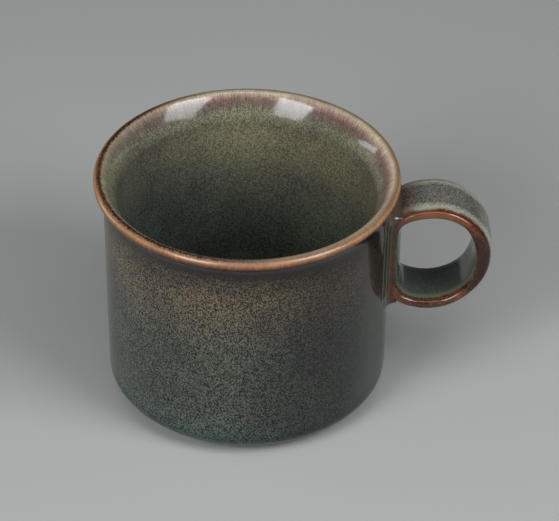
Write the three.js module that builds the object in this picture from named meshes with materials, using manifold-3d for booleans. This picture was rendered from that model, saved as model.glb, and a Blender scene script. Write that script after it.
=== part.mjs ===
// A stoneware cup with a rolled lip and a ring handle of flat band.
// Millimetres, +Z up, standing on z = 0, with the handle to +X.
// The origin is the middle of the footprint that the cup and its handle cover together.

import * as THREE from "three";
import { mergeVertices } from "three/addons/utils/BufferGeometryUtils.js";
import Module from "manifold-3d";

const wasm = await Module();
wasm.setup();

// Cup body: overall sizes
const rimDiameter = 85;
const cupHeight = 70;

// Lip and neck
const lipThickness = 3.1;
const lipOverhang = 2.6;
const lipUnderTurn = 55;
const neckHeight = 8.2;

// Wall and base corner
const wallDraft = 0.5;
const wallThickness = 4;
const cornerHeight = 6.2;
const cornerReach = 9;

// Inside of the cup: the flare runs from the lip to a soft edge where the upright wall starts.
// Its slopes at the lip and at that edge are angles from the vertical.
const flareHeight = 7.1;
const flareSlope = 42;
const flareFootSlope = 22;
const flareEdgeRound = 1.3;
const floorThickness = 4;
const innerCornerRadius = 12;

// Foot
const footHeight = 0.9;
const footStep = 0.5;
const footTaper = 0.3;
const footWidth = 3.6;
const recessDepth = 2;
const recessRound = 0.8;

// Ring handle: a band bent to an uneven ring, with a straight stretch down the wall.
// It hangs below the rim by its drop, its waist lies below its own top, and reaches are from the wall.
const ringDrop = 6.6;
const ringHeight = 34.8;
const waistDrop = 16.3;
const ringReach = 28.55;
const topReach = 12.3;
const bottomReach = 10.7;
const swellReach = 21.2;
const topArmLength = 16.8;
const bottomArmLength = 15.5;
const rootLength = 6;
const bandWidth = 16.7;
const bandThickness = 3.7;
const waistThickness = 5.2;
const bandSquareness = 2.85;
const bandAtWall = 3.15;
const hugDistance = 7;

// Luting slip between wall and band
const slipFilm = 0.4;
const slipSpread = 5;
const slipTopSpread = 3.2;
const slipBottomSpread = 2.4;
const slipRise = 1.5;
const slipTopRise = 3;
const slipBottomRise = 2.4;
const slipEndBlend = 5;
const slipEdge = 0.3;
const slipCornerRadius = 2.5;

// Clearance between neighbouring pieces, and how finely round forms are divided
const clearance = 0.3;
const bodySegments = 64;
const outlineDivisions = 4;
const bandStations = 64;
const sectionPoints = 24;
const slipLevels = 6;
const slipCornerPoints = 5;
const slipSidePoints = 8;

const rad = THREE.MathUtils.degToRad;

// Sizes that follow from the values above
const lipRadius = lipThickness / 2;
const lipCentre = new THREE.Vector2(rimDiameter / 2 - lipRadius, cupHeight - lipRadius);
const wallTopRadius = rimDiameter / 2 - lipOverhang;
const wallTopHeight = cupHeight - neckHeight;
const wallBaseRadius = wallTopRadius - wallDraft;
const wallBaseHeight = footHeight + cornerHeight;
const innerTopRadius = wallTopRadius - wallThickness;
const innerBaseRadius = wallBaseRadius - wallThickness;
const floorHeight = recessDepth + floorThickness;
const footRadius = wallBaseRadius - cornerReach - footStep;
const seatDepth = clearance + slipFilm + clearance;
const ringTop = cupHeight - ringDrop;
const ringBottom = ringTop - ringHeight;
const ringWaist = ringTop - waistDrop;

// Radius of the straight wall at a height
function wallRadius(height) {
  const share = (height - wallBaseHeight) / (wallTopHeight - wallBaseHeight);
  return THREE.MathUtils.lerp(wallBaseRadius, wallTopRadius, share);
}

// Point on the lip's round edge, at an angle from the horizontal
function onLip(angle) {
  return new THREE.Vector2(
    lipCentre.x + lipRadius * Math.cos(angle),
    lipCentre.y + lipRadius * Math.sin(angle),
  );
}

// Where the line from one point along a direction meets the line from another point along its own
function meeting(from, direction, other, otherDirection) {
  const apart = other.clone().sub(from);
  const along = apart.cross(otherDirection) / direction.cross(otherDirection);
  return from.clone().addScaledVector(direction, along);
}

// Outside of the cup from the foot's step up to the top of the lip
function traceOutside(path) {
  const corner = wallBaseRadius - cornerReach;
  path.lineTo(corner, footHeight);
  path.absellipse(corner, wallBaseHeight, cornerReach, cornerHeight, -Math.PI / 2, 0, false, 0);
  path.lineTo(wallTopRadius, wallTopHeight);
  const under = onLip(rad(-lipUnderTurn));
  const rise = new THREE.Vector2(Math.sin(rad(lipUnderTurn)), Math.cos(rad(lipUnderTurn)));
  const wallTop = new THREE.Vector2(wallTopRadius, wallTopHeight);
  const meet = meeting(under, rise, wallTop, new THREE.Vector2(0, 1));
  path.quadraticCurveTo(meet.x, meet.y, under.x, under.y);
  path.absarc(lipCentre.x, lipCentre.y, lipRadius, rad(-lipUnderTurn), Math.PI / 2, false);
}

// Inside of the cup from the top of the lip down to the middle of the floor
function traceInside(path) {
  const crown = rad(180 - flareSlope);
  path.absarc(lipCentre.x, lipCentre.y, lipRadius, Math.PI / 2, crown, false);
  const slope = new THREE.Vector2(-Math.sin(rad(flareSlope)), -Math.cos(rad(flareSlope)));
  const footSlope = new THREE.Vector2(Math.sin(rad(flareFootSlope)), Math.cos(rad(flareFootSlope)));
  const edge = new THREE.Vector2(innerTopRadius, cupHeight - flareHeight);
  const meet = meeting(onLip(crown), slope, edge, footSlope);
  const flareEnd = edge.clone().addScaledVector(footSlope, flareEdgeRound);
  path.quadraticCurveTo(meet.x, meet.y, flareEnd.x, flareEnd.y);
  path.quadraticCurveTo(edge.x, edge.y, edge.x, edge.y - flareEdgeRound);
  const cornerTop = floorHeight + innerCornerRadius;
  const cornerInset = innerBaseRadius - innerCornerRadius;
  path.lineTo(innerBaseRadius, cornerTop);
  path.absarc(cornerInset, cornerTop, innerCornerRadius, 0, -Math.PI / 2, true);
  path.lineTo(0, floorHeight);
}

// Foot ring and recessed underside, from the middle outwards
function traceFoot(path) {
  const recessRadius = footRadius - footWidth;
  path.moveTo(0, recessDepth);
  path.lineTo(recessRadius - recessRound, recessDepth);
  path.quadraticCurveTo(recessRadius, recessDepth, recessRadius, recessDepth - recessRound);
  path.lineTo(recessRadius + footTaper, 0);
  path.lineTo(footRadius - footTaper, 0);
  path.lineTo(footRadius, footHeight);
}

// Revolves an outline that starts and ends on the axis, and stands it up along +Z
function revolve(points) {
  const geometry = new THREE.LatheGeometry(points, bodySegments);
  geometry.rotateX(Math.PI / 2);
  return geometry;
}

// The cup's outline as points. Curves get more divisions than their neighbours where they are tight.
function outlinePoints(trace, divisions) {
  const path = new THREE.Path();
  trace(path);
  return path.getPoints(divisions);
}

function makeBody() {
  const points = outlinePoints((path) => {
    traceFoot(path);
    traceOutside(path);
    traceInside(path);
  }, outlineDivisions);
  return revolve(points);
}

// A solid that fills the cup's outside, grown by a distance: it cuts a seat that fits the wall
function wallTool(distance) {
  const outside = outlinePoints((path) => {
    path.moveTo(footRadius, footHeight);
    traceOutside(path);
  }, outlineDivisions);
  const grown = outside.map((point) => new THREE.Vector2(point.x + distance, point.y));
  const profile = [
    new THREE.Vector2(0, -distance),
    new THREE.Vector2(footRadius + distance, -distance),
    ...grown,
    new THREE.Vector2(0, cupHeight + distance),
  ];
  return toSolid(revolve(profile));
}

// A closed mesh with shared vertices becomes a solid for cutting
function toSolid(geometry) {
  const bare = geometry.clone();
  bare.deleteAttribute("normal");
  bare.deleteAttribute("uv");
  const merged = mergeVertices(bare, 1e-4);
  const index = merged.index.array;
  const triangles = [];
  for (let i = 0; i < index.length; i += 3) {
    const [a, b, c] = index.slice(i, i + 3);
    if (a !== b && b !== c && c !== a) {
      triangles.push(a, b, c);
    }
  }
  const mesh = new wasm.Mesh({
    numProp: 3,
    vertProperties: new Float32Array(merged.attributes.position.array),
    triVerts: new Uint32Array(triangles),
  });
  return new wasm.Manifold(mesh);
}

function toGeometry(solid) {
  const mesh = solid.getMesh();
  const geometry = new THREE.BufferGeometry();
  geometry.setAttribute("position", new THREE.BufferAttribute(mesh.vertProperties, 3));
  geometry.setIndex(new THREE.BufferAttribute(mesh.triVerts, 1));
  geometry.computeVertexNormals();
  return geometry;
}

// Skin over rings of points: each ring joins the next, and the last joins the first or both ends are
// closed by a fan to the ring's middle.
function skin(rings, isLoop) {
  const size = rings[0].length;
  const positions = rings.flat().flatMap((point) => point.toArray());
  const index = [];
  const joins = isLoop ? rings.length : rings.length - 1;
  for (let i = 0; i < joins; i += 1) {
    const next = (i + 1) % rings.length;
    for (let j = 0; j < size; j += 1) {
      const k = (j + 1) % size;
      const a = i * size + j;
      const b = i * size + k;
      const c = next * size + k;
      const d = next * size + j;
      index.push(a, b, c, a, c, d);
    }
  }
  if (!isLoop) {
    closeEnd(positions, index, rings[0], 0, true);
    closeEnd(positions, index, rings[rings.length - 1], (rings.length - 1) * size, false);
  }
  const geometry = new THREE.BufferGeometry();
  geometry.setAttribute("position", new THREE.Float32BufferAttribute(positions, 3));
  geometry.setIndex(index);
  return geometry;
}

function closeEnd(positions, index, ring, start, isFirst) {
  const middle = new THREE.Vector3();
  ring.forEach((point) => middle.add(point));
  middle.divideScalar(ring.length);
  const hub = positions.length / 3;
  positions.push(...middle.toArray());
  for (let j = 0; j < ring.length; j += 1) {
    const k = (j + 1) % ring.length;
    if (isFirst) {
      index.push(hub, start + k, start + j);
    } else {
      index.push(hub, start + j, start + k);
    }
  }
}

// Middle line of the band in the plane y = 0: four quarter ovals that meet level at the top and bottom
// and upright at the waist, two turned roots, and the stretch on the wall between them.
const wallX = wallRadius(ringWaist);
const bandLineX = wallX + bandAtWall - bandThickness / 2;
const waistX = wallX + ringReach - waistThickness / 2;

function bandLine() {
  const outRise = { top: ringTop - ringWaist, bottom: ringWaist - ringBottom };
  const half = bandThickness / 2;
  const quarters = {
    top: { x: wallX + topReach, rise: outRise.top - half, turn: Math.PI / 2, arm: topArmLength },
    bottom: {
      x: wallX + bottomReach, rise: outRise.bottom - half, turn: -Math.PI / 2, arm: bottomArmLength,
    },
  };
  const line = new THREE.CurvePath();
  const { top, bottom } = quarters;
  line.add(new THREE.EllipseCurve(top.x, ringWaist, waistX - top.x, top.rise, 0, top.turn, false, 0));
  const topArm = armCurve(top, false);
  const topRoot = rootCurve(topArm.getPoint(1), topArm.getTangent(1));
  line.add(topArm);
  line.add(topRoot);
  const bottomArm = armCurve(bottom, true);
  const bottomRoot = rootCurve(bottomArm.getPoint(1), bottomArm.getTangent(1));
  line.add(new THREE.LineCurve(topRoot.v2, bottomRoot.v2));
  line.add(new THREE.QuadraticBezierCurve(bottomRoot.v2, bottomRoot.v1, bottomRoot.v0));
  line.add(armCurve(bottom, true, true));
  line.add(new THREE.EllipseCurve(
    bottom.x, ringWaist, waistX - bottom.x, bottom.rise, bottom.turn, 0, false, 0,
  ));
  return { line, topCorner: topRoot.v1, bottomCorner: bottomRoot.v1 };
}

// The flatter oval that runs from the top or bottom of the ring towards the wall, or back from it
function armCurve(quarter, isClockwise, isBack = false) {
  const spread = Math.asin((quarter.x - bandLineX - rootLength) / quarter.arm);
  const end = quarter.turn + (isClockwise ? -spread : spread);
  const [from, to] = isBack ? [end, quarter.turn] : [quarter.turn, end];
  return new THREE.EllipseCurve(
    quarter.x, ringWaist, quarter.arm, quarter.rise, from, to, isBack ? !isClockwise : isClockwise, 0,
  );
}

// The band's turn onto the wall: its control point is where the arm's tangent meets the wall line
function rootCurve(start, tangent) {
  const steps = (bandLineX - start.x) / tangent.x;
  const corner = new THREE.Vector2(bandLineX, start.y + steps * tangent.y);
  const inward = Math.sign(ringWaist - corner.y);
  const end = new THREE.Vector2(bandLineX, corner.y + inward * corner.distanceTo(start));
  return new THREE.QuadraticBezierCurve(start, corner, end);
}

// Soft-edged rectangle across the band, grown by a distance: x is across the thickness, y the width
function bandSection(thickness, growth) {
  const power = 2 / bandSquareness;
  const points = [];
  for (let i = 0; i < sectionPoints; i += 1) {
    const turn = (2 * Math.PI * i) / sectionPoints;
    const across = Math.sign(Math.cos(turn)) * Math.abs(Math.cos(turn)) ** power;
    const wide = Math.sign(Math.sin(turn)) * Math.abs(Math.sin(turn)) ** power;
    points.push(new THREE.Vector2(
      (thickness / 2 + growth) * across,
      (bandWidth / 2 + growth) * wide,
    ));
  }
  return points;
}

// The band carried round its middle line. Close to the wall it also bends with the wall's curve.
function makeBand(growth) {
  const { line } = bandLine();
  const rings = [];
  for (let i = 0; i < bandStations; i += 1) {
    const share = i / bandStations;
    const centre = line.getPointAt(share);
    const tangent = line.getTangentAt(share);
    const swell = THREE.MathUtils.smoothstep(centre.x, wallX + swellReach, waistX);
    const section = bandSection(THREE.MathUtils.lerp(bandThickness, waistThickness, swell), growth);
    const hug = 1 - THREE.MathUtils.smoothstep(centre.x, bandLineX, bandLineX + hugDistance);
    rings.push(section.map((point) => {
      const sag = centre.x - Math.sqrt(centre.x ** 2 - point.y ** 2);
      return new THREE.Vector3(
        centre.x + point.x * tangent.y - hug * sag,
        point.y,
        centre.y - point.x * tangent.x,
      );
    }));
  }
  return toSolid(skin(rings, true)).subtract(wallTool(seatDepth - growth));
}

// Radius of the cup's outside at a height below the lip
const outsidePoints = outlinePoints(traceOutside, outlineDivisions);
function outsideRadius(height) {
  const above = outsidePoints.findIndex((point) => point.y >= height);
  const low = outsidePoints[above - 1];
  const high = outsidePoints[above];
  return THREE.MathUtils.lerp(low.x, high.x, (height - low.y) / (high.y - low.y));
}

// Outline of the joint on the wall between two heights: a rectangle with round corners, whose straight
// sides are divided too, so that they follow the wall
function jointOutline(halfWidth, low, high) {
  const side = halfWidth - slipCornerRadius;
  const centres = [
    new THREE.Vector2(side, high - slipCornerRadius),
    new THREE.Vector2(-side, high - slipCornerRadius),
    new THREE.Vector2(-side, low + slipCornerRadius),
    new THREE.Vector2(side, low + slipCornerRadius),
  ];
  const onCorner = (quarter, share) => {
    const turn = (Math.PI / 2) * (quarter + share);
    const reach = new THREE.Vector2(Math.cos(turn), Math.sin(turn));
    return centres[quarter % 4].clone().addScaledVector(reach, slipCornerRadius);
  };
  const points = [];
  for (let quarter = 0; quarter < 4; quarter += 1) {
    for (let i = 0; i <= slipCornerPoints; i += 1) {
      points.push(onCorner(quarter, i / slipCornerPoints));
    }
    for (let i = 1; i < slipSidePoints; i += 1) {
      points.push(onCorner(quarter, 1).lerp(onCorner(quarter + 1, 0), i / slipSidePoints));
    }
  }
  return points;
}

// That outline laid on the wall, at a height above it that may change along the joint
function onWall(outline, heightAt) {
  return outline.map((point) => {
    const radius = outsideRadius(point.y) + heightAt(point.y);
    return new THREE.Vector3(Math.sqrt(radius ** 2 - point.x ** 2), point.x, point.y);
  });
}

// The slip: a pad over the joint whose sides sweep up in a hollow curve, less the cup and the band.
// It climbs higher at its ends, where it fills the groove between the wall and the turning band.
function makeSlip() {
  const { topCorner, bottomCorner } = bandLine();
  const high = topCorner.y + bandThickness / 2;
  const low = bottomCorner.y - bandThickness / 2;
  const tucked = bandWidth / 2 - slipEdge;
  const outline = (hollow) => jointOutline(
    tucked + slipSpread * hollow,
    low - slipBottomSpread * hollow,
    high + slipTopSpread * hollow,
  );
  const riseAt = (height) => {
    const nearTop = THREE.MathUtils.smoothstep(height, high - slipEndBlend, high);
    const nearBottom = 1 - THREE.MathUtils.smoothstep(height, low, low + slipEndBlend);
    return slipRise + nearTop * (slipTopRise - slipRise) + nearBottom * (slipBottomRise - slipRise);
  };
  const rings = [onWall(outline(1), () => -seatDepth)];
  for (let i = 0; i <= slipLevels; i += 1) {
    const share = i / slipLevels;
    const hollow = 1 - Math.sqrt(1 - (1 - share) ** 2);
    rings.push(onWall(outline(hollow), (height) => clearance + slipEdge + share * riseAt(height)));
  }
  const under = jointOutline(tucked, low + slipEndBlend, high - slipEndBlend);
  rings.push(onWall(under, () => clearance + slipEdge + slipRise));
  return toSolid(skin(rings, false)).subtract(wallTool(clearance)).subtract(makeBand(clearance));
}

function material(color, roughness) {
  return new THREE.MeshStandardMaterial({ color, roughness, metalness: 0 });
}

function part(name, geometry, finish) {
  const mesh = new THREE.Mesh(geometry, finish);
  mesh.name = name;
  return mesh;
}

const cup = new THREE.Group();
cup.add(part("cup_body", makeBody(), material(0x5c564a, 0.3)));
cup.add(part("ring_handle", toGeometry(makeBand(0)), material(0x6a5444, 0.3)));
cup.add(part("handle_slip", toGeometry(makeSlip()), material(0x3c443c, 0.25)));

// The footprint runs from the rim's far side to the outside of the ring
const handleReach = new THREE.Box3().setFromObject(cup).max.x;
cup.position.x = (rimDiameter / 2 - handleReach) / 2;

const group = new THREE.Group();
group.add(cup);

export default group;
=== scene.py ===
import math

import bpy
import numpy as np
from mathutils import Matrix, Vector


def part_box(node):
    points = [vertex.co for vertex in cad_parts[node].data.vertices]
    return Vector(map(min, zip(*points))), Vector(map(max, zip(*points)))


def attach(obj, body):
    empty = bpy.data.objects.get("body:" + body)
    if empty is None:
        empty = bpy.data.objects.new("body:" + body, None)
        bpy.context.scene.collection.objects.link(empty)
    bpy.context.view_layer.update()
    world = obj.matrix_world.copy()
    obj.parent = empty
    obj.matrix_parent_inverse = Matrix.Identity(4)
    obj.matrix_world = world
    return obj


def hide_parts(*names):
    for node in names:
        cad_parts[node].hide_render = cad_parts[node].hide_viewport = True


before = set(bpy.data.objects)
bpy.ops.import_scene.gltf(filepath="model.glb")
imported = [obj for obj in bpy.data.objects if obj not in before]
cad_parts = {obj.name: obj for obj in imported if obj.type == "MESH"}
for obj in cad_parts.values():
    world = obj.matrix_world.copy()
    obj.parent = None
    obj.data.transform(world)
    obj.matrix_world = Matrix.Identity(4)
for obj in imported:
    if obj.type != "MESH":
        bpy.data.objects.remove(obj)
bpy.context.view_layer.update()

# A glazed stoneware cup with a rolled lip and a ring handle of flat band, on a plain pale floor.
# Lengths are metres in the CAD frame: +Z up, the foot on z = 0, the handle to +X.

MM = 0.001

# Places read from the frame
body_low, body_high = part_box("cup_body")
ring_low, ring_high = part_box("ring_handle")
AXIS_X = (body_low.x + body_high.x) / 2
RIM_R = (body_high.x - body_low.x) / 2
CUP_HEIGHT = body_high.z

# Lip, neck, wall and base corner of the cup
LIP_ROUND = 1.55 * MM
LIP_OVERHANG = 2.6 * MM
LIP_UNDER_TURN = math.radians(55)
NECK_HEIGHT = 8.2 * MM
WALL_DRAFT = 0.5 * MM
WALL_THICKNESS = 4.0 * MM
CORNER_HEIGHT = 6.2 * MM
CORNER_REACH = 9.0 * MM

# Inside of the cup
FLARE_HEIGHT = 7.1 * MM
FLARE_SLOPE = math.radians(42)
FLARE_FOOT_SLOPE = math.radians(22)
FLARE_EDGE_ROUND = 1.3 * MM
FLOOR_THICKNESS = 4.0 * MM
INNER_CORNER = 12.0 * MM

# Foot
FOOT_HEIGHT = 0.9 * MM
FOOT_STEP = 0.5 * MM
FOOT_WIDTH = 3.6 * MM
FOOT_ROUND = 0.35 * MM
RECESS_DEPTH = 2.0 * MM
RECESS_ROUND = 0.8 * MM

# Ring handle
WAIST_DROP = 16.3 * MM
TOP_REACH = 12.3 * MM
BOTTOM_REACH = 10.7 * MM
SWELL_REACH = 21.2 * MM
TOP_ARM = 16.8 * MM
BOTTOM_ARM = 15.5 * MM
ROOT_LENGTH = 6.0 * MM
BAND_THICKNESS = 3.7 * MM
WAIST_THICKNESS = 5.2 * MM
BAND_SQUARENESS = 3.3
BAND_AT_WALL = 3.15 * MM
BAND_SEAT = 0.5 * MM
HUG_DISTANCE = 7.0 * MM

# Luting slip round the joint
SLIP_SIDE_SPREAD = 4.6 * MM
SLIP_TOP_SPREAD = 3.6 * MM
SLIP_BOTTOM_SPREAD = 2.8 * MM
SLIP_SIDE_RISE = 2.0 * MM
SLIP_TOP_RISE = 3.8 * MM
SLIP_BOTTOM_RISE = 3.0 * MM
SLIP_END_BLEND = 5.0 * MM
SLIP_CORNER = 1.6 * MM
SLIP_TUCK = 0.3 * MM
SLIP_SIDE_DEPTH = 0.8 * MM
SLIP_END_DEPTH = 2.6 * MM
SLIP_SINK = 0.3 * MM
SLIP_FEATHER = 0.03 * MM

# How finely the surfaces are divided: columns and rows of faces, and points on each run of a curve
CUP_COLUMNS = 288
RING_STATIONS = 320
BAND_COLUMNS = 112
SLIP_COLUMNS = 240
SLIP_ROWS = 22
INSIDE_POINTS = {"lip": 14, "flare": 34, "edge": 12, "wall": 50, "corner": 32, "floor": 24}
OUTSIDE_POINTS = {"lip": 34, "neck": 24, "wall": 56, "corner": 26}
FOOT_POINTS = {"side": 3, "round": 6, "face": 4, "hollow": 4, "hollow_round": 8, "middle": 18}
RING_POINTS = {"quarter": 400, "flat": 300, "root": 200, "seat": 200}
SECTION_POINTS = 4001
SLIP_CORNER_POINTS = 40

# Sizes that follow from the values above
LIP_R = RIM_R - LIP_ROUND
LIP_Z = CUP_HEIGHT - LIP_ROUND
WALL_TOP_R = RIM_R - LIP_OVERHANG
WALL_TOP_Z = CUP_HEIGHT - NECK_HEIGHT
WALL_BASE_R = WALL_TOP_R - WALL_DRAFT
WALL_BASE_Z = FOOT_HEIGHT + CORNER_HEIGHT
INNER_TOP_R = WALL_TOP_R - WALL_THICKNESS
INNER_BASE_R = WALL_BASE_R - WALL_THICKNESS
FLOOR_Z = RECESS_DEPTH + FLOOR_THICKNESS
FOOT_R = WALL_BASE_R - CORNER_REACH - FOOT_STEP
RECESS_R = FOOT_R - FOOT_WIDTH
BAND_WIDTH = ring_high.y - ring_low.y
RING_WAIST = ring_high.z - WAIST_DROP

# Distance from the joint, in mm, of every point that isn't on the outside
FAR_FROM_JOINT = 60.0


# Curves

def line(start, end, count):
    """Straight run of points: start + t (end - start)."""
    t = np.linspace(0.0, 1.0, count)[:, None]
    return np.asarray(start) + t * (np.asarray(end) - np.asarray(start))


def arc(centre, radii, start, end, count):
    """Part of an oval: centre + radii times (cosine, sine) of an angle from start to end."""
    turn = np.linspace(start, end, count)
    return np.column_stack([
        centre[0] + radii[0] * np.cos(turn),
        centre[1] + radii[1] * np.sin(turn),
    ])


def bend(start, corner, end, count):
    """Quadratic curve: (1-t)^2 start + 2t(1-t) corner + t^2 end."""
    t = np.linspace(0.0, 1.0, count)[:, None]
    start, corner, end = map(np.asarray, (start, corner, end))
    return (1 - t) ** 2 * start + 2 * t * (1 - t) * corner + t ** 2 * end


def joined(*runs):
    """Runs of points one after another, without the doubled points where they meet."""
    return np.vstack([runs[0]] + [run[1:] for run in runs[1:]])


def meeting(start, direction, other, other_direction):
    """Where the line from start along direction meets the line from other along its own."""
    sides = np.column_stack([direction, -np.asarray(other_direction)])
    share = np.linalg.solve(sides, np.asarray(other) - np.asarray(start))
    return np.asarray(start) + share[0] * np.asarray(direction)


def lengths(points):
    """Distance along a run of points from its first one: running sum of the steps."""
    steps = np.linalg.norm(np.diff(points, axis=0), axis=1)
    return np.concatenate([[0.0], np.cumsum(steps)])


def spaced(points, count):
    """The same closed run with count points at equal steps, its end left out."""
    along = lengths(points)
    wanted = np.linspace(0.0, along[-1], count, endpoint=False)
    return np.column_stack([np.interp(wanted, along, points[:, k]) for k in range(points.shape[1])])


def smooth_step(value, low, high):
    """0 below low, 1 above high, and 3t^2 - 2t^3 between them."""
    t = np.clip((value - low) / (high - low), 0.0, 1.0)
    return t * t * (3 - 2 * t)


# Surfaces

def grid_faces(rows, columns, rows_meet):
    """Quads between neighbouring rows of a grid whose columns close on themselves.
    Where rows_meet, the last row joins the first."""
    row = np.arange(rows if rows_meet else rows - 1)[:, None]
    column = np.arange(columns)[None, :]
    here = row * columns
    below = (row + 1) % rows * columns
    beside = (column + 1) % columns
    quads = np.stack([here + column, below + column, below + beside, here + beside], axis=-1)
    return quads.reshape(-1, 4)


def fan(pole, ring_start, columns, is_first):
    """Triangles from a pole to the ring of points beside it."""
    near = ring_start + np.arange(columns)
    far = ring_start + (np.arange(columns) + 1) % columns
    hub = np.full(columns, pole)
    return np.column_stack([hub, near, far] if is_first else [hub, far, near])


def facing_out(points, quads):
    """The quads, turned round where they enclose a negative volume: the sum over the faces of
    (a + c) . ((c - a) x (d - b)), with a to d as a face's corners."""
    a, b, c, d = (points[quads[:, k]] for k in range(4))
    volume = np.einsum("ij,ij->", a + c, np.cross(c - a, d - b))
    return quads[:, ::-1] if volume < 0 else quads


def make_piece(name, points, faces, values):
    """A smooth mesh object at the origin, with its values as point attributes."""
    mesh = bpy.data.meshes.new(name)
    mesh.from_pydata(points.tolist(), [], faces)
    for label, value in values.items():
        layer = mesh.attributes.new(label, "FLOAT", "POINT")
        layer.data.foreach_set("value", np.ascontiguousarray(value, dtype=np.float32))
    mesh.shade_smooth()
    mesh.update()
    piece = bpy.data.objects.new(name, mesh)
    bpy.context.scene.collection.objects.link(piece)
    return piece


# Cup body

def on_lip(turn):
    """Point on the lip's round edge, at an angle from the horizontal."""
    return np.array([LIP_R + LIP_ROUND * math.cos(turn), LIP_Z + LIP_ROUND * math.sin(turn)])


def inside_outline():
    """Radius and height from the crown of the lip down to the middle of the floor:
    lip arc, flare, soft edge, upright wall, corner arc and floor."""
    count = INSIDE_POINTS
    crown = math.pi - FLARE_SLOPE
    down = np.array([-math.sin(FLARE_SLOPE), -math.cos(FLARE_SLOPE)])
    up = np.array([math.sin(FLARE_FOOT_SLOPE), math.cos(FLARE_FOOT_SLOPE)])
    edge = np.array([INNER_TOP_R, CUP_HEIGHT - FLARE_HEIGHT])
    meet = meeting(on_lip(crown), down, edge, up)
    flare_end = edge + FLARE_EDGE_ROUND * up
    wall_start = edge - np.array([0.0, FLARE_EDGE_ROUND])
    corner = (INNER_BASE_R - INNER_CORNER, FLOOR_Z + INNER_CORNER)
    return joined(
        arc((LIP_R, LIP_Z), (LIP_ROUND, LIP_ROUND), math.pi / 2, crown, count["lip"]),
        bend(on_lip(crown), meet, flare_end, count["flare"]),
        bend(flare_end, edge, wall_start, count["edge"]),
        line(wall_start, (INNER_BASE_R, corner[1]), count["wall"]),
        arc(corner, (INNER_CORNER, INNER_CORNER), 0.0, -math.pi / 2, count["corner"]),
        line((corner[0], FLOOR_Z), (0.0, FLOOR_Z), count["floor"]),
    )


def outside_outline():
    """Radius and height from the crown of the lip down the wall to the foot's step:
    lip arc, neck, straight wall and the oval corner."""
    count = OUTSIDE_POINTS
    under = on_lip(-LIP_UNDER_TURN)
    rise = np.array([math.sin(LIP_UNDER_TURN), math.cos(LIP_UNDER_TURN)])
    wall_top = np.array([WALL_TOP_R, WALL_TOP_Z])
    meet = meeting(under, rise, wall_top, (0.0, 1.0))
    corner = (WALL_BASE_R - CORNER_REACH, WALL_BASE_Z)
    return joined(
        arc((LIP_R, LIP_Z), (LIP_ROUND, LIP_ROUND), math.pi / 2, -LIP_UNDER_TURN, count["lip"]),
        bend(under, meet, wall_top, count["neck"]),
        line(wall_top, (WALL_BASE_R, WALL_BASE_Z), count["wall"]),
        arc(corner, (CORNER_REACH, CORNER_HEIGHT), 0.0, -math.pi / 2, count["corner"]),
    )


def foot_outline():
    """Radius and height from the foot's step round the foot ring to the middle underneath."""
    count = FOOT_POINTS
    turned = 0.5 * math.pi
    foot_round = (FOOT_ROUND, FOOT_ROUND)
    hollow_round = (RECESS_ROUND, RECESS_ROUND)
    outer = FOOT_R - FOOT_ROUND
    inner = RECESS_R + FOOT_ROUND
    hollow = RECESS_R - RECESS_ROUND
    hollow_side = RECESS_DEPTH - RECESS_ROUND
    return joined(
        line((FOOT_R + FOOT_STEP, FOOT_HEIGHT), (FOOT_R, FOOT_HEIGHT), count["side"]),
        line((FOOT_R, FOOT_HEIGHT), (FOOT_R, FOOT_ROUND), count["side"]),
        arc((outer, FOOT_ROUND), foot_round, 0.0, -turned, count["round"]),
        line((outer, 0.0), (inner, 0.0), count["face"]),
        arc((inner, FOOT_ROUND), foot_round, -turned, -2 * turned, count["round"]),
        line((RECESS_R, FOOT_ROUND), (RECESS_R, hollow_side), count["hollow"]),
        arc((hollow, hollow_side), hollow_round, 0.0, turned, count["hollow_round"]),
        line((hollow, RECESS_DEPTH), (0.0, RECESS_DEPTH), count["middle"]),
    )


def wall_radius(height):
    """Radius of the straight wall at a height, by its draft."""
    share = (height - WALL_BASE_Z) / (WALL_TOP_Z - WALL_BASE_Z)
    return WALL_BASE_R + share * WALL_DRAFT


def outside_radius(height):
    """Radius of the cup's outside at a height, read off the outline between foot and lip."""
    outline = outside_outline()[::-1]
    return np.interp(height, outline[:, 1], outline[:, 0])


def joint_distance(around, height):
    """How far a point of the unrolled wall lies outside the handle's joint, in mm:
    the distance to a rectangle, less where it is inside."""
    low, high = joint_ends()
    beside = np.abs(around) - BAND_WIDTH / 2
    above = np.abs(height - (low + high) / 2) - (high - low) / 2
    outside = np.hypot(np.maximum(beside, 0.0), np.maximum(above, 0.0))
    return (outside + np.minimum(np.maximum(beside, above), 0.0)) / MM


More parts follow.
